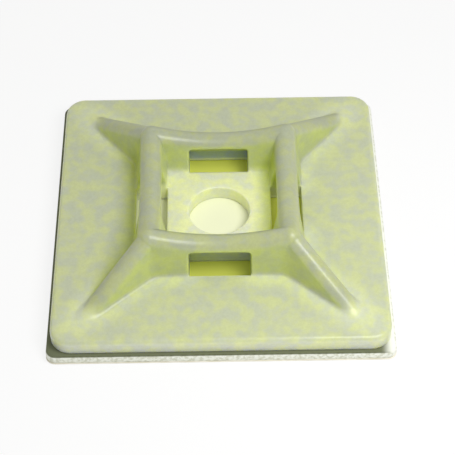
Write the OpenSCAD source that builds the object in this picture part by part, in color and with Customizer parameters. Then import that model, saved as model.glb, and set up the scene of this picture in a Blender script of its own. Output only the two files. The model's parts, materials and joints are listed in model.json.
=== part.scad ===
// Four-way adhesive-backed cable tie mount: a square plate with a raised
// square ring of four bridges round a screw well, propped by four ribs.
// Origin at the middle of the underside, +Z up, millimetres.

/* [Base plate] */
// Side of the square plate
plate_w = 28; // [24:0.5:50]
// Thickness of the plate
plate_t = 1.45; // [1:0.05:3]
// Corner radius of the plate, seen from above
plate_corner_r = 1.7; // [1:0.1:4]
// Rounding of the plate's upper edge
rim_r = 0.4; // [0.2:0.05:0.8]

/* [Bridge ring] */
// Clear width of the well between facing bridges, at its floor
well_w = 9.05; // [8:0.05:11]
// Height of a bridge at the middle of its span, above the plate
bridge_h = 3.25; // [3:0.05:5]
// Radius of a bridge's full-round crest, across its width
crest_r = 0.95; // [0.7:0.05:1.2]
// Radius of the hollow along the crest of a bridge
hollow_r = 17.5; // [15:0.5:60]
// Draft of the bridge and rib flanks, in degrees
draft = 9.5; // [3:0.5:12]

/* [Tie slots] */
// Width of each tie slot
slot_w = 5.2; // [3:0.1:6.5]
// Height of each tie slot above the plate
slot_h = 2.4; // [1.5:0.1:2.6]
// Rounding of the slot's upper corners
slot_corner_r = 0.35; // [0.1:0.05:0.6]

/* [Screw hole] */
// Diameter of the screw hole in the floor of the well
screw_d = 5.3; // [3:0.1:6.5]

/* [Corner ribs] */
// Radius of a rib's full-round crest, across its width
rib_r = 0.85; // [0.6:0.05:0.95]
// Distance between a rib's tip and the two nearest plate edges
rib_setback = 2.55; // [1.5:0.05:4]

/* [Adhesive pad] */
// Overhang of the foam pad past the plate, each side
pad_overhang = 0.4; // [0:0.05:1]
// Thickness of the foam pad
pad_t = 0.8; // [0.4:0.1:2]
// Corner radius of the pad and its liner
pad_corner_r = 0.8; // [0.2:0.1:3]
// Thickness of the release liner under the pad
liner_t = 0.1; // [0.08:0.01:0.3]

/* [Hidden] */
$fn = 64;

// Levels, from the underside up
plate_z = liner_t + pad_t;
deck_z = plate_z + plate_t;

// Cross-section of a bridge: a full round on two drafted flanks
crest_axis_h = bridge_h - crest_r;
flank_top_x = crest_r * cos(draft);
flank_top_h = crest_axis_h + crest_r * sin(draft);
bridge_foot_half = flank_top_x + flank_top_h * tan(draft);
bridge_mid = well_w / 2 + bridge_foot_half;
bridge_outer = bridge_mid + bridge_foot_half;

// The hollow crest turns about a level line above the bridge
hollow_axis_h = bridge_h + hollow_r;
crest_axis_r = hollow_r + crest_r;

// Bridges and rib meet in a ball at each corner of the ring, and the ball
// stands a hair proud of the bridges' crests
ball_proud = 0.01;
corner_h = hollow_axis_h - sqrt(pow(crest_axis_r, 2) - pow(bridge_mid, 2));

// A rib runs from the ball down the diagonal, and its crest ends at its tip
rib_start = bridge_mid * sqrt(2);
rib_tip = (plate_w / 2 - rib_setback) * sqrt(2);
rib_reach = rib_tip - rib_start;
tip_to_ball = norm([rib_reach, corner_h]);
rib_slope = atan(corner_h / rib_reach) + asin(rib_r / tip_to_ball);
rib_run = sqrt(pow(tip_to_ball, 2) - pow(rib_r, 2));

pad_w = plate_w + 2 * pad_overhang;
bury = plate_t / 2;
cut = 1;
reach = plate_w;

// Square of side w with corners of radius r
module rounded_square(w, r) {
    square([w - 2 * r, w], center = true);
    square([w, w - 2 * r], center = true);
    for (x = [-1, 1], y = [-1, 1])
        translate([x * (w / 2 - r), y * (w / 2 - r)]) circle(r);
}

// Side view of the plate, w wide, with both upper corners rounded
module rim_profile(w) {
    translate([-w / 2, 0]) square([w, plate_t - rim_r]);
    translate([-w / 2 + rim_r, 0]) square([w - 2 * rim_r, plate_t]);
    for (x = [-1, 1])
        translate([x * (w / 2 - rim_r), plate_t - rim_r]) circle(rim_r);
}

module plate() {
    straight = plate_w - 2 * plate_corner_r;
    for (turn = [0, 90])
        rotate([90, 0, turn])
            linear_extrude(straight, center = true) rim_profile(plate_w);
    for (x = [-1, 1], y = [-1, 1])
        translate([x * straight / 2, y * straight / 2, 0])
            rotate_extrude()
                intersection() {
                    rim_profile(2 * plate_corner_r);
                    square([plate_corner_r, plate_t]);
                }
}

// Cross-section of a bridge or rib: a crest of radius r at depth 0, on flanks
// that widen down to depth d
module crest_profile(r, d) {
    top = r * cos(draft);
    depth = r * (1 - sin(draft));
    half = top + (d - depth) * tan(draft);
    translate([r, 0]) circle(r);
    polygon([[depth, -top], [d, -half], [d, half], [depth, top]]);
}

// The bridge on the +Y side, from one corner ball to the next
module bridge() {
    span = 2 * asin(bridge_mid / crest_axis_r);
    sweep_d = norm([bridge_mid, hollow_axis_h + bury]) - hollow_r + cut;
    intersection() {
        translate([0, bridge_mid, hollow_axis_h])
            rotate([90, 0, 0])
                rotate([0, 0, -90 - span / 2])
                    rotate_extrude(angle = span)
                        translate([hollow_r, 0]) crest_profile(crest_r, sweep_d);
        translate([-bridge_mid, 0, -bury])
            cube([2 * bridge_mid, reach, bury + hollow_r]);
    }
}

// The ball at the +X+Y corner of the ring, its poles turned into the diagonal
module corner_ball() {
    translate([bridge_mid, bridge_mid, corner_h])
        rotate([0, 90, 45]) sphere(crest_r + ball_proud);
}

// The rib on the +X+Y diagonal, from its tip to the middle of the ball
module rib() {
    rotate([0, 0, 45])
        intersection() {
            translate([rib_tip, 0, 0])
                rotate([0, rib_slope - 90, 0])
                    linear_extrude(rib_run)
                        rotate(180) crest_profile(rib_r, rib_r + corner_h + bury);
            translate([rib_start, -reach, -bury]) cube([reach, 2 * reach, reach]);
        }
}

// Tie slot through the +Y bridge, with the core opening in the plate under it
module slot_cut() {
    translate([0, reach / 2, 0])
        rotate([90, 0, 0])
            linear_extrude(reach / 2 - well_w / 4) {
                translate([-slot_w / 2, 0]) square([slot_w, slot_h - slot_corner_r]);
                translate([-slot_w / 2 + slot_corner_r, 0])
                    square([slot_w - 2 * slot_corner_r, slot_h]);
                for (x = [-1, 1])
                    translate([x * (slot_w / 2 - slot_corner_r), slot_h - slot_corner_r])
                        circle(slot_corner_r);
            }
    translate([-slot_w / 2, well_w / 2, -plate_t - cut])
        cube([slot_w, bridge_outer - well_w / 2, plate_t + cut + slot_h / 2]);
}

module mount_body() {
    color([0.80, 0.83, 0.67])
        translate([0, 0, deck_z])
            difference() {
                union() {
                    translate([0, 0, -plate_t]) plate();
                    for (turn = [0:90:270])
                        rotate(turn) {
                            bridge();
                            corner_ball();
                            rib();
                        }
                }
                for (turn = [0:90:270])
                    rotate(turn) slot_cut();
                translate([0, 0, -plate_t - cut]) cylinder(d = screw_d, h = plate_t + 2 * cut);
            }
}

module foam_pad() {
    color([0.93, 0.93, 0.88])
        translate([0, 0, liner_t])
            linear_extrude(pad_t) rounded_square(pad_w, pad_corner_r);
}

module release_liner() {
    color([0.96, 0.95, 0.90])
        linear_extrude(liner_t) rounded_square(pad_w, pad_corner_r);
}

mount_body();
foam_pad();
release_liner();
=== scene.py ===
"""Four-way adhesive-backed cable tie mount, moulded in natural nylon.

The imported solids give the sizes. The nylon body, the foam pad and the release
liner are drawn again as finished surfaces: the body with the small fillets and
softened edges of a moulding, the pad with its cut foam edge, the liner as paper.
Lengths are in millimetres until a mesh is written, which is in metres.
"""
import json
from math import asin, atan, cos, hypot, pi, radians, sin, sqrt, tan

import bpy
import numpy as np
from mathutils import Matrix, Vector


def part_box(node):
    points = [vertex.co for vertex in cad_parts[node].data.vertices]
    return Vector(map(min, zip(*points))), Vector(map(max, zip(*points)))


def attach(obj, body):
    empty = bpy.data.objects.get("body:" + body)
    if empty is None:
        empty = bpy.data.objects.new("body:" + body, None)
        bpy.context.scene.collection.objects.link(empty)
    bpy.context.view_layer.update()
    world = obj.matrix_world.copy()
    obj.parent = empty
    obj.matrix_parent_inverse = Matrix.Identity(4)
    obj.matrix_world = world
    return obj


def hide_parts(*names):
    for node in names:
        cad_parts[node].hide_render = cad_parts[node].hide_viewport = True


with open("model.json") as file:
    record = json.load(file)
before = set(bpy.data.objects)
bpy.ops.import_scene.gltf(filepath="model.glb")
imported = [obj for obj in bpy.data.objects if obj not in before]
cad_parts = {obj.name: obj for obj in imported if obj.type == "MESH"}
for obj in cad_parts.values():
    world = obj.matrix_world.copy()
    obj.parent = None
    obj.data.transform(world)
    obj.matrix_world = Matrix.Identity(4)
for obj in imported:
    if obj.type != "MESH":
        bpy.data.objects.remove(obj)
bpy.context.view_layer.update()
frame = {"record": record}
record = frame["record"]

MM = 0.001


# ---------------------------------------------------------------- sizes, in mm

def node_box(name):
    """Lowest and highest corner of a CAD node, in millimetres."""
    low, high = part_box(name)
    return np.array(low) / MM, np.array(high) / MM


def mount_row(name):
    """The record's mount of that name."""
    return next(m for m in record["mounts"] if m["name"] == name)


body_low, body_high = node_box("mount_body")
pad_low, pad_high = node_box("foam_pad")
liner_low, liner_high = node_box("release_liner")
screw = mount_row("screw_hole")

plate_half = body_high[0]
plate_t = screw["dims"]["length_mm"]
deck = body_low[2] + plate_t
hole_r = screw["dims"]["r_mm"]

# Form of the moulding, as in the part's source
plate_corner_r = 1.7
rim_r = 0.4
well_w = 9.05
bridge_h = 3.25
crest_r = 0.95
hollow_r = 17.5
draft = radians(9.5)
slot_half = 2.6
slot_h = 2.4
slot_corner_r = 0.35
rib_r = 0.85
rib_setback = 2.55
pad_corner_r = 0.8

flank_top_h = bridge_h - crest_r + crest_r * sin(draft)
bridge_foot_half = crest_r * cos(draft) + flank_top_h * tan(draft)
bridge_mid = well_w / 2 + bridge_foot_half
hollow_axis_h = bridge_h + hollow_r
crest_axis_r = hollow_r + crest_r
corner_turn = asin(bridge_mid / crest_axis_r)
corner_h = hollow_axis_h - crest_axis_r * cos(corner_turn)
rib_start = bridge_mid * sqrt(2)
rib_reach = (plate_half - rib_setback) * sqrt(2) - rib_start
rib_slope = atan(corner_h / rib_reach) + asin(rib_r / hypot(rib_reach, corner_h))

# Softening that the mould gives, drawn only here. The fillet between bridges,
# balls and ribs shrinks over the last stretch below the ring's corners
foot_fillet = 0.2
rib_tip_fillet = 0.35
inner_fillet = 0.3
inner_fillet_fade = 1.2
slot_edge_r = 0.16
core_edge_r = 0.07
hole_edge_r = 0.12
under_edge_r = 0.1


# ---------------------------------------------------------------- camera

def look(elevation, azimuth, distance, focal, roll, shift):
    """Camera that looks at the middle of the plate's top, turned by roll.

    It stands at distance * (sin azimuth * cos elevation, -cos azimuth * cos
    elevation, sin elevation) from there, and its right and up axes are turned
    by roll round the line of sight.
    """
    level = cos(elevation)
    back = np.array([sin(azimuth) * level, -cos(azimuth) * level, sin(elevation)])
    right = np.array([cos(azimuth), sin(azimuth), 0.0])
    up = np.cross(back, right)
    rolled_right = cos(roll) * right - sin(roll) * up
    rolled_up = sin(roll) * right + cos(roll) * up
    turn = Matrix(np.column_stack([rolled_right, rolled_up, back]).tolist()).to_4x4()
    place = (np.array([0, 0, deck]) + distance * back) * MM
    data = bpy.data.cameras.new("camera")
    data.sensor_width = 36
    data.lens = focal
    data.shift_x, data.shift_y = shift
    data.clip_start = 0.01
    camera = bpy.data.objects.new("camera", data)
    camera.matrix_world = Matrix.Translation(place.tolist()) @ turn
    bpy.context.scene.collection.objects.link(camera)
    bpy.context.scene.camera = camera


look(
    elevation=radians(49.14),
    azimuth=radians(0.11),
    distance=127.99,
    focal=116.37,
    roll=radians(0.947),
    shift=(0.0182, -0.0380),
)


# The softbox, above on the right and towards the camera. Its place is measured
# from the middle of the plate's top, and its power is in watts
softbox_place = np.array([24.0, -25.0, 57.0])
softbox_size = 30.0
softbox_power = 0.0275


# ---------------------------------------------------------------- meshes

def make_piece(name, points, face_sets, material, normals=None, marks=None):
    """Mesh object at the origin from points in millimetres.

    face_sets holds one array of faces for each number of sides. marks names
    arrays with one number for each point, which the materials read.
    """
    mesh = bpy.data.meshes.new(name)
    sides = np.concatenate([np.full(len(faces), faces.shape[1]) for faces in face_sets])
    corners = np.concatenate([faces.ravel() for faces in face_sets])
    mesh.vertices.add(len(points))
    mesh.vertices.foreach_set("co", (points * MM).ravel())
    mesh.loops.add(len(corners))
    mesh.loops.foreach_set("vertex_index", corners)
    mesh.polygons.add(len(sides))
    mesh.polygons.foreach_set("loop_start", np.cumsum(sides) - sides)
    mesh.update(calc_edges=True)
    mesh.polygons.foreach_set("use_smooth", np.full(len(sides), True))
    if normals is not None:
        mesh.normals_split_custom_set_from_vertices(normals)
    for mark, values in (marks or {}).items():
        mesh.attributes.new(mark, "FLOAT", "POINT").data.foreach_set("value", values)
    mesh.materials.append(material)
    piece = bpy.data.objects.new(name, mesh)
    bpy.context.scene.collection.objects.link(piece)
    return piece


def ramp(value, start, end):
    """Goes smoothly from 0 at start to 1 at end."""
    part = np.clip((value - start) / (end - start), 0, 1)
    return part * part * (3 - 2 * part)


def round_union(a, b, r):
    """Union of two distance fields with a fillet of radius r where they meet."""
    reach = np.hypot(np.maximum(r - a, 0), np.maximum(r - b, 0))
    return np.maximum(r, np.minimum(a, b)) - reach


def round_common(a, b, r):
    """Common part of two distance fields with its edge rounded to radius r."""
    reach = np.hypot(np.maximum(r + a, 0), np.maximum(r + b, 0))
    return np.minimum(-r, np.maximum(a, b)) + reach


def round_box(a, b, r):
    """Distance to a corner of two faces at signed distances a and b, rounded to r."""
    outside = np.hypot(np.maximum(a + r, 0), np.maximum(b + r, 0))
    return outside + np.minimum(np.maximum(a, b) + r, 0) - r


def crest(across, up, r):
    """Distance to a full-round crest on two drafted flanks.

    Above the line square to the flank it is the distance to a circle of radius
    r, and below it the distance to the flank's plane.
    """
    on_round = up * cos(draft) > across * sin(draft)
    flank = across * cos(draft) + up * sin(draft) - r
    return np.where(on_round, np.hypot(across, up) - r, flank)


def bridge(x, y, z):
    """Distance to the bridge at y = bridge_mid: the crest's section, swept about a
    level line above the bridge, and ended at the ball in the ring's corner."""
    axis_z = hollow_axis_h - z
    section = crest(np.abs(y - bridge_mid), crest_axis_r - np.hypot(x, axis_z), crest_r)
    past_end = x * cos(corner_turn) - axis_z * sin(corner_turn)
    return np.maximum(section, np.maximum(x - bridge_mid, past_end))


def rib(x, y, z):
    """Distance to the rib on the diagonal: the crest's section carried down a
    straight slope, from the ball to where it sinks into the plate."""
    along = (x + y) / sqrt(2) - rib_start
    rise = z - corner_h
    up = along * sin(rib_slope) + rise * cos(rib_slope)
    past_ball = rise * sin(rib_slope) - along * cos(rib_slope)
    section = crest(np.abs(x - y) / sqrt(2), up, rib_r)
    return np.maximum(section, np.maximum(-along, past_ball))


def slot(x, z):
    """Distance to the tie slot's section: a rectangle with rounded upper corners."""
    return round_box(x - slot_half, z - slot_h, slot_corner_r)


def ring_field(x, y, z):
    """Signed distance to the ring and ribs for x and y positive: bridges, ball and
    rib joined, less the slots."""
    inner = inner_fillet * np.clip((corner_h - z) / inner_fillet_fade, 0.05, 1)
    ring = round_union(bridge(x, y, z), bridge(y, x, z), inner)
    from_axis = (x - bridge_mid) ** 2 + (y - bridge_mid) ** 2
    ball = np.sqrt(from_axis + (z - corner_h) ** 2) - crest_r
    ring = round_union(np.minimum(ring, ball), rib(x, y, z), inner)
    ring = np.maximum(ring, -z - plate_t / 2)
    return round_common(ring, -np.minimum(slot(x, z), slot(y, z)), slot_edge_r)


def body_field(x, y, z):
    """Signed distance to the nylon body, negative inside, z from the plate's top.

    The four sides are alike, so the sum is done for the quarter with x and y
    positive: the ring joined to the plate, less the core openings under the
    bridges and the screw hole.
    """
    x, y = np.abs(x), np.abs(y)
    ring = ring_field(x, y, z)
    outline = round_box(x - plate_half, y - plate_half, plate_corner_r)
    plate = np.maximum(round_box(outline, z, rim_r), round_box(outline, -z - plate_t, under_edge_r))
    to_tip = ramp(np.minimum(x, y), 8.5, 11.0)
    foot = foot_fillet + (rib_tip_fillet - foot_fillet) * to_tip
    solid = round_union(ring, plate, foot)
    for a, b in ((x, y), (y, x)):
        core = np.maximum(a - slot_half, np.abs(b - bridge_mid) - bridge_foot_half)
        core = np.maximum(core, z - slot_h / 2)
        solid = round_common(solid, -core, core_edge_r)
    return round_common(solid, hole_r - np.hypot(x, y), hole_edge_r)


def spaced(*stretches):
    """Grid lines from stretches of (end, step), each cut into equal steps."""
    lines = [np.array([stretches[0][0]])]
    for end, step in stretches[1:]:
        start = lines[-1][-1]
        count = max(1, round((end - start) / step))
        lines.append(np.linspace(start, end, count + 1)[1:])
    return np.concatenate(lines)


def surface_net(field, lines):
    """Closed surface where field is zero, on a grid with the given lines.

    Each cell that the surface crosses gets one point, the mean of the crossings
    on its edges, and each grid edge that it crosses gets one face, between the
    four cells round that edge.
    """
    value = field(*np.meshgrid(*lines, indexing="ij", sparse=True))
    cells = tuple(n - 1 for n in value.shape)
    total = np.zeros(cells + (3,))
    count = np.zeros(cells)
    crossings = []
    for axis in range(3):
        start = np.take(value, np.arange(cells[axis]), axis)
        end = np.take(value, np.arange(1, cells[axis] + 1), axis)
        crossed = (start < 0) != (end < 0)
        at = np.argwhere(crossed)
        part = start[crossed] / (start[crossed] - end[crossed])
        point = np.column_stack([lines[k][at[:, k]] for k in range(3)])
        point[:, axis] += part * np.diff(lines[axis])[at[:, axis]]
        first, second = [k for k in range(3) if k != axis]
        for step_1 in (0, 1):
            for step_2 in (0, 1):
                cell = at.copy()
                cell[:, first] -= step_1
                cell[:, second] -= step_2
                np.add.at(total, tuple(cell.T), point)
                np.add.at(count, tuple(cell.T), 1)
        crossings.append((axis, at, start[crossed] < 0))
    used = count > 0
    number = np.full(cells, -1)
    number[used] = np.arange(np.count_nonzero(used))
    points = total[used] / count[used][:, None]
    faces = []
    for axis, at, leaves in crossings:
        first, second = (axis + 1) % 3, (axis + 2) % 3
        ring = []
        for step_1, step_2 in ((1, 1), (0, 1), (0, 0), (1, 0)):
            cell = at.copy()
            cell[:, first] -= step_1
            cell[:, second] -= step_2
            ring.append(number[tuple(cell.T)])
        quad = np.column_stack(ring)
        faces.append(np.where(leaves[:, None], quad, quad[:, ::-1]))
    return points, np.concatenate(faces)


def slope_of(field, points, step=1e-3):
    """Gradient of the field at the points, by differences over a short step."""
    columns = []
    for axis in range(3):
        shift = np.zeros(3)
        shift[axis] = step
        columns.append(field(*(points + shift).T) - field(*(points - shift).T))
    return np.column_stack(columns) / (2 * step)


def settle(field, points, rounds=5):
    """Move the points down the gradient until they lie on the surface, and give
    the outward normals there."""
    for _ in range(rounds):
        slope = slope_of(field, points)
        size = np.maximum(np.sum(slope ** 2, axis=1), 0.2)
        points = points - (field(*points.T) / size)[:, None] * slope
    slope = slope_of(field, points)
    return points, slope / np.linalg.norm(slope, axis=1)[:, None]


def in_shade(points, normals):
    """How much of the softbox each point has hidden from it by the moulding, 0 to 1.

    On the way from the point to the lamp, the field over the distance gone is the
    angle by which the body misses the line of sight, and the lamp fills an angle
    of 2 / spread. The way starts a little off the surface, along its normal.
    """
    to_lamp = softbox_place / np.linalg.norm(softbox_place)
    spread = 4.5
    lift = 0.1
    hidden = np.zeros(len(points))
    for gone in (0.3, 0.6, 1.0, 1.5, 2.2, 3.0, 4.0, 5.5):
        x, y, z = (points + lift * normals + gone * to_lamp).T
        missed = body_field(x, y, z) / gone * spread
        hidden = np.maximum(hidden, np.clip(0.5 - 0.5 * missed, 0, 1))
    return hidden


def nylon_marks(points, normals):
    """What the nylon's colours follow, from 0 to 1 at each point, z from the plate's
    top.

    In turn: the plate close beside the ring, out of the shade, where light is
    painted; the sides of the ring and ribs, where shade is painted, and their tops;
    where the sides bend over to the back, painted darkest as shade; the well's
    floor and hole, where light is painted; the walls of the front and back core
    openings, painted blue-grey as shade; the lowest part of all four, where light
    is painted; the plate's side, where light is painted; and what the ring hides
    from the softbox, where shade is painted.
    """
    x, y, z = points.T
    facing_back, facing_up = normals[:, 1:].T
    across, deep = np.abs(x), np.abs(y)
    out = np.maximum(across, deep)
    # The well's painted light reaches under the left bridge too
    core_reach = 2.7
    from_well = np.maximum(np.where(x < 0, across - core_reach, across), deep)
    well = ramp(from_well, 4.8, 4.3) * ramp(z, 0.9, 0.1)
    within_ring = ramp(out, 9, 8.5)
    below_deck = ramp(z, -0.05, -0.25) * within_ring
    shade = in_shade(points, normals) * (1 - below_deck) * ramp(out, 12, 10)
    beside_ring = ramp(ring_field(across, deep, z), 1.8, 0.1) * ramp(facing_up, 0.6, 0.95)
    turned_back = ramp(facing_back, 0.15, 0.65) * ramp(facing_up, 0.1, 0.35)
    return {
        "painted_light_beside_ring": beside_ring * (1 - shade),
        "flank": ramp(facing_up, 0.8, 0.3) * ramp(z, 0.1, 0.5),
        "crest": ramp(facing_up, 0.1, 0.7) * ramp(z, 0.1, 0.9),
        "painted_shade_far_shoulder": turned_back * ramp(z, 0.05, 0.3),
        "well": well,
        "painted_shade_core_walls": below_deck * (1 - well) * ramp(deep - across, -0.5, 0.5),
        "painted_light_core_foot": ramp(z, -1.05, -1.15) * (1 - well) * within_ring,
        "rim": ramp(out, 13.4, 13.9) * ramp(z, -0.1, -0.4),
        "shade": shade,
    }


def nylon_body(material):
    """The moulding, from its distance field on a grid that is finest at the slots'
    and hole's edges, at the bridges, and at the plate's rim and faces."""
    past = 0.08
    half = spaced(
        (0, 0), (2.25, 0.2), (2.9, 0.1), (4.2, 0.2), (7.7, 0.12),
        (11.9, 0.21), (13.5, 0.32), (plate_half + past, 0.083),
    )
    across = np.concatenate([-half[:0:-1], half])
    height = spaced(
        (-plate_t - past, 0), (-plate_t + 2 * past, 0.08), (-0.48, 0.2),
        (0.48, 0.08), (4.35, 0.125),
    )
    points, faces = surface_net(body_field, (across, across, height))
    points, normals = settle(body_field, points)
    marks = nylon_marks(points, normals)
    points[:, 2] += deck
    return make_piece("nylon_body", points, [faces], material, normals, marks)


def outline(half, corner_r, run=24, arc=10):
    """Points round a square of that half width, with its corners on arcs of corner_r
    and its sides cut into equal runs: one corner and side, turned four times."""
    turn = np.linspace(0, pi / 2, arc)
    corner = half - corner_r + corner_r * np.column_stack([np.cos(turn), np.sin(turn)])
    side = np.linspace(corner[-1], corner[0] * (-1, 1), run + 1)[1:-1]
    side[:, 1] = half
    quarter = np.concatenate([corner, side])
    turns = [np.array([[cos(a), sin(a)], [-sin(a), cos(a)]]) for a in np.arange(4) * pi / 2]
    return np.concatenate([quarter @ spin for spin in turns])


def slab(name, half, corner_r, profile, material):
    """Flat piece: a profile of (inset, height) pairs carried round the outline, from
    the middle of the underside to the middle of the top, where it closes in a point."""
    loop = outline(half, corner_r)
    inset, level = np.array(profile).T
    size = len(loop)
    rings = loop[None] * (1 - inset / half)[:, None, None]
    rings = np.dstack([rings, np.broadcast_to(level[:, None], rings.shape[:2])])
    points = np.concatenate([[[0, 0, level[0]]], rings.reshape(-1, 3), [[0, 0, level[-1]]]])
    here = np.arange(size)
    after = (here + 1) % size
    start = 1 + size * np.arange(len(level) - 1)[:, None]
    quads = np.stack([start + here, start + after, start + size + after, start + size + here], 2)
    last = len(points) - 1
    bottom = np.column_stack([np.zeros(size, int), 1 + after, 1 + here])
    top = np.column_stack([np.full(size, last), last - size + here, last - size + after])
    return make_piece(name, points, [quads.reshape(-1, 4), np.concatenate([bottom, top])], material)


def foam_pad(material):
    """The tape's foam, with the slightly bulged sides that a die cuts: the inset
    grows from the middle of the height to both faces as a power of the way."""
    low, high = pad_low[2], pad_high[2]
    least, bulge = 0.02, 0.07
    rise = np.linspace(0, 1, 9)
    side = [(least + bulge * abs(2 * t - 1) ** 2.5, low + t * (high - low)) for t in rise]
    across = (0.3, 2, 6, 10, 13)
    under = [(inset, low) for inset in across[::-1]]
    profile = under + side + [(inset, high) for inset in across]
    return slab("foam_tape", pad_high[0], pad_corner_r, profile, material)


def release_liner(material):
    """The paper under the pad, cut clean with it, its edges just broken."""
    low, high = liner_low[2], liner_high[2]
    broken = 0.02
    across = (0.05, 2, 8, 13)
    under = [(inset, low) for inset in across[::-1]]
    edge = [(broken, low), (0, low + broken), (0, high - broken), (broken, high)]
    profile = under + edge + [(inset, high) for inset in across]
    return slab("liner_paper", liner_high[0], pad_corner_r, profile, material)


# ---------------------------------------------------------------- materials

# Sockets of the Mix node when it mixes colours, which share names with others
MIX_A, MIX_B, MIX_RESULT = 6, 7, 2


def linear(code):
    """sRGB hex colour to linear RGBA."""
    parts = np.array([int(code[k:k + 2], 16) for k in (1, 3, 5)]) / 255
    low = parts / 12.92
    high = ((parts + 0.055) / 1.055) ** 2.4
    return (*np.where(parts <= 0.04045, low, high).tolist(), 1.0)


def add(tree, kind, inputs=None, **settings):
    """Add one node, with its settings, and its inputs as values or linked sockets."""
    node = tree.nodes.new(kind)
    for name, value in settings.items():
        setattr(node, name, value)
    for name, value in (inputs or {}).items():
        if isinstance(value, bpy.types.NodeSocket):
            tree.links.new(value, node.inputs[name])
        else:
            node.inputs[name].default_value = value
    return node


def new_material(name):
    """Empty node material, and its tree."""
    material = bpy.data.materials.new(name)
    material.use_nodes = True
    material.node_tree.nodes.clear()
    return material, material.node_tree


def natural_nylon():
    """Natural polyamide 6.6, injection moulded: milky, a little yellow-green, with a
    soft sheen."""
    material, tree = new_material("moulded_natural_nylon")
    place = add(tree, "ShaderNodeTexCoord").outputs["Object"]
    # White foam behind the plate shines through it. Light is painted on the plate
    # close beside the ring, out of the shade. The ring is thicker and greyer; shade is
    # painted on its sides, and darkest on its shoulders to the back. Light is painted
    # where it gathers between the walls of the well and low in the core openings, and
    # where light carried along inside the plate leaves at its rim. Shade is painted
    # blue-grey on the walls of the front and back core openings. On a face in painted
    # shade the light has come through the nylon and turned yellow
    tone = linear("#d0d6b2")
    for mark, tint, mode in (
        ("painted_light_beside_ring", "#dee4be", "MIX"),
        ("flank", "#c6d08f", "MIX"),
        ("crest", "#bac09d", "MIX"),
        ("painted_shade_far_shoulder", "#a1a77e", "MIX"),
        ("well", "#f0f4ce", "MIX"),
        ("painted_shade_core_walls", "#b6c6d2", "MIX"),
        ("painted_light_core_foot", "#eaf0d2", "MIX"),
        ("rim", "#e6ebcd", "MIX"),
        ("shade", "#f8ff9c", "MULTIPLY"),
    ):
        amount = add(tree, "ShaderNodeAttribute", attribute_name=mark)
        layer = add(tree, "ShaderNodeMix", {
            "Factor": amount.outputs["Fac"], MIX_A: tone, MIX_B: linear(tint),
        }, data_type="RGBA", blend_type=mode)
        tone = layer.outputs[MIX_RESULT]
    # Milky clouding of the unpigmented moulding, and then the fine pebbling of the
    # spark-eroded mould, which is drawn three times as coarse to show
    for size, roughness, start, end, first, second in (
        (1.2, 0.6, 0.36, 0.64, "#ffffe8", "#f3f3ff"),
        (0.3, 0.7, 0.3, 0.7, "#f7f7f7", "#ffffff"),
    ):
        grain = add(tree, "ShaderNodeTexNoise", {
            "Vector": place, "Scale": 1000 / size, "Detail": 2.0, "Roughness": roughness,
        })
        spread = add(tree, "ShaderNodeMapRange", {
            "Value": grain.outputs["Fac"], "From Min": start, "From Max": end,
        }, interpolation_type="SMOOTHSTEP")
        tint = add(tree, "ShaderNodeMix", {
            "Factor": spread.outputs["Result"], MIX_A: linear(first), MIX_B: linear(second),
        }, data_type="RGBA")
        layer = add(tree, "ShaderNodeMix", {
            "Factor": 1.0, MIX_A: tone, MIX_B: tint.outputs[MIX_RESULT],
        }, data_type="RGBA", blend_type="MULTIPLY")
        tone = layer.outputs[MIX_RESULT]
    relief = add(tree, "ShaderNodeBump", {
        "Height": grain.outputs["Fac"], "Strength": 0.15, "Distance": 0.02 * MM,
    })
    surface = add(tree, "ShaderNodeBsdfPrincipled", {
        "Base Color": tone,
        "Normal": relief.outputs["Normal"],
        "Roughness": 0.3,
        "IOR": 1.53,
        "Specular IOR Level": 0.4,
        "Subsurface Weight": 1.0,
        "Subsurface Radius": (1.0, 0.95, 0.5),
        "Subsurface Scale": 0.6 * MM,
    })
    add(tree, "ShaderNodeOutputMaterial", {"Surface": surface.outputs["BSDF"]})
    return material


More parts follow.
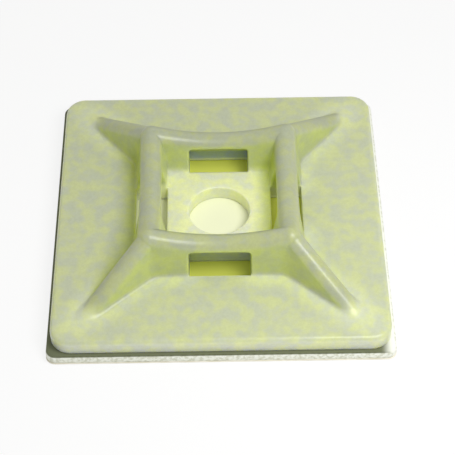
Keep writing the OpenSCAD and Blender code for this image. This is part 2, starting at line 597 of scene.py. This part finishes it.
def white_foam():
    """Closed-cell polyethylene foam tape, die cut: matt and pale, its cut cells give
    the sides a fine grain."""
    material, tree = new_material("closed_cell_foam_tape")
    place = add(tree, "ShaderNodeTexCoord").outputs["Object"]
    along = add(tree, "ShaderNodeSeparateXYZ", {"Vector": place}).outputs
    folded = add(tree, "ShaderNodeVectorMath", {0: place}, operation="ABSOLUTE").outputs["Vector"]
    # The greater of a point's distances from the two middle planes
    sides = add(tree, "ShaderNodeSeparateXYZ", {"Vector": folded}).outputs
    out = add(tree, "ShaderNodeMath", {0: sides["X"], 1: sides["Y"]}, operation="MAXIMUM")
    # Its distance from the square on which the plate's corners are centred
    straight = (plate_half - plate_corner_r) * MM
    square = (straight, straight, body_high[2] * MM)
    over = add(tree, "ShaderNodeVectorMath", {0: folded, 1: square}, operation="SUBTRACT")
    beyond = add(tree, "ShaderNodeVectorMath", {0: over.outputs["Vector"]}, operation="MAXIMUM")
    past = add(tree, "ShaderNodeVectorMath", {0: beyond.outputs["Vector"]}, operation="LENGTH")
    # Cells are about 0.15 mm, drawn twice as coarse to show
    cells = add(tree, "ShaderNodeTexNoise", {"Vector": place, "Scale": 1000 / 0.3, "Detail": 2.0})
    pad_half, _, pad_top = pad_high
    part = {}
    for name, value, start, end in (
        ("behind_ring", out.outputs["Value"], 4.4 * MM, 4.6 * MM),
        ("right_of_left_slot", along["X"], -4.6 * MM, -4.4 * MM),
        ("margin", past.outputs["Value"],
         (plate_corner_r - 0.15) * MM, (plate_corner_r - 0.05) * MM),
        ("top", along["Z"], (pad_top - 0.12) * MM, (pad_top - 0.02) * MM),
        ("away_from_lit_right", along["X"], 14.1 * MM, 13.0 * MM),
        ("side", out.outputs["Value"], (pad_half - 0.2) * MM, (pad_half - 0.12) * MM),
        ("open_cell", cells.outputs["Fac"], 0.4, 0.65),
    ):
        part[name] = add(tree, "ShaderNodeMapRange", {
            "Value": value, "From Min": start, "From Max": end,
        }, interpolation_type="SMOOTHSTEP").outputs["Result"]
    # Masks for the painted shade under the ring and the painted shadow on the margin
    for name, first, second in (
        ("painted_shade_under_ring", "behind_ring", "right_of_left_slot"),
        ("upper_margin", "margin", "top"),
        ("painted_margin_shadow", "upper_margin", "away_from_lit_right"),
        ("opened", "side", "open_cell"),
    ):
        part[name] = add(tree, "ShaderNodeMath", {
            0: part[first], 1: part[second],
        }, operation="MULTIPLY").outputs["Value"]
    # Under the ring, except beside the left slot, the foam is painted yellow as shade:
    # the light there comes through the nylon. Beyond the plate's rounded outline the foam
    # is white, and there the top of the adhesive's open margin is painted dark as the
    # plate's shadow, except along the lit right side. Only the cut sides show cells
    tone = linear("#f3f5d6")
    for name, tint, mode in (
        ("painted_shade_under_ring", "#d9de62", "MIX"),
        ("margin", "#f3f5ea", "MIX"),
        ("painted_margin_shadow", "#6c7156", "MIX"),
        ("opened", "#e2e2d8", "MULTIPLY"),
    ):
        layer = add(tree, "ShaderNodeMix", {
            "Factor": part[name], MIX_A: tone, MIX_B: linear(tint),
        }, data_type="RGBA", blend_type=mode)
        tone = layer.outputs[MIX_RESULT]
    relief = add(tree, "ShaderNodeBump", {
        "Height": part["opened"], "Strength": 0.4, "Distance": 0.04 * MM,
    }, invert=True)
    surface = add(tree, "ShaderNodeBsdfPrincipled", {
        "Base Color": tone,
        "Normal": relief.outputs["Normal"],
        "Roughness": 0.8,
        "Specular IOR Level": 0.3,
    })
    add(tree, "ShaderNodeOutputMaterial", {"Surface": surface.outputs["BSDF"]})
    return material


def coated_paper():
    """Silicone-coated release paper: smooth, slightly glossy, cream, with faint
    fibres."""
    material, tree = new_material("silicone_coated_paper")
    place = add(tree, "ShaderNodeTexCoord").outputs["Object"]
    # Fibres are about 0.03 mm thick and 1 mm long, drawn ten times as thick to show
    drawn = add(tree, "ShaderNodeMapping", {
        "Vector": place, "Scale": (1000 / 1.0, 1000 / 0.3, 1000 / 0.3),
    })
    fibres = add(tree, "ShaderNodeTexNoise", {
        "Vector": drawn.outputs["Vector"], "Scale": 1.0, "Detail": 2.0,
    })
    spread = add(tree, "ShaderNodeMapRange", {
        "Value": fibres.outputs["Fac"], "From Min": 0.35, "From Max": 0.65,
    }, interpolation_type="SMOOTHSTEP")
    tone = add(tree, "ShaderNodeMix", {
        "Factor": spread.outputs["Result"], MIX_A: linear("#e4dfcc"), MIX_B: linear("#f0ecdf"),
    }, data_type="RGBA")
    relief = add(tree, "ShaderNodeBump", {
        "Height": fibres.outputs["Fac"], "Strength": 0.2, "Distance": 0.01 * MM,
    })
    surface = add(tree, "ShaderNodeBsdfPrincipled", {
        "Base Color": tone.outputs[MIX_RESULT],
        "Normal": relief.outputs["Normal"],
        "Roughness": 0.35,
    })
    add(tree, "ShaderNodeOutputMaterial", {"Surface": surface.outputs["BSDF"]})
    return material


# ---------------------------------------------------------------- floor, light

def softbox():
    """Square lamp that faces the middle of the plate's top."""
    lamp = bpy.data.lights.new("softbox", "AREA")
    lamp.shape = "SQUARE"
    lamp.size = softbox_size * MM
    lamp.energy = softbox_power
    back = softbox_place / np.linalg.norm(softbox_place)
    right = np.cross([0.0, 1.0, 0.0], back)
    right /= np.linalg.norm(right)
    aim = Matrix(np.column_stack([right, np.cross(back, right), back]).tolist()).to_4x4()
    place = (softbox_place + [0, 0, deck]) * MM
    box = bpy.data.objects.new("softbox", lamp)
    box.matrix_world = Matrix.Translation(place.tolist()) @ aim
    bpy.context.scene.collection.objects.link(box)


def white_floor():
    """White table under the part. Seen straight on, mirrored or through something it
    is mostly plain white, and the rest is lit and keeps the part's shadow."""
    half = 0.6
    plain_white = 0.8
    mesh = bpy.data.meshes.new("floor")
    corners = [(-half, -half, 0), (half, -half, 0), (half, half, 0), (-half, half, 0)]
    mesh.from_pydata(corners, [], [(0, 1, 2, 3)])
    material, tree = new_material("white_floor")
    lit = add(tree, "ShaderNodeBsdfDiffuse", {"Color": linear("#f4f4f2")})
    white = add(tree, "ShaderNodeEmission", {"Color": (1, 1, 1, 1), "Strength": 1.0})
    rays = add(tree, "ShaderNodeLightPath").outputs
    seen = rays["Is Camera Ray"]
    for other, operation in (
        (rays["Is Glossy Ray"], "MAXIMUM"),
        (rays["Is Transmission Ray"], "MAXIMUM"),
        (plain_white, "MULTIPLY"),
    ):
        step = add(tree, "ShaderNodeMath", {0: seen, 1: other}, operation=operation)
        seen = step.outputs["Value"]
    surface = add(tree, "ShaderNodeMixShader", {
        0: seen, 1: lit.outputs["BSDF"], 2: white.outputs["Emission"],
    })
    add(tree, "ShaderNodeOutputMaterial", {"Surface": surface.outputs["Shader"]})
    mesh.materials.append(material)
    floor = bpy.data.objects.new("floor", mesh)
    bpy.context.scene.collection.objects.link(floor)


def white_room():
    """Even white light from all round."""
    world = bpy.data.worlds.new("studio")
    world.use_nodes = True
    world.node_tree.nodes.clear()
    back = add(world.node_tree, "ShaderNodeBackground", {
        "Color": (1, 1, 1, 1), "Strength": 0.55,
    })
    add(world.node_tree, "ShaderNodeOutputWorld", {"Surface": back.outputs["Background"]})
    bpy.context.scene.world = world


body = nylon_body(natural_nylon())
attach(body, "root")
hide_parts("mount_body")

foam = foam_pad(white_foam())
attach(foam, "root")
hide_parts("foam_pad")

liner = release_liner(coated_paper())
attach(liner, "root")
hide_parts("release_liner")

white_floor()
white_room()
softbox()
bpy.context.scene.view_settings.view_transform = "Standard"
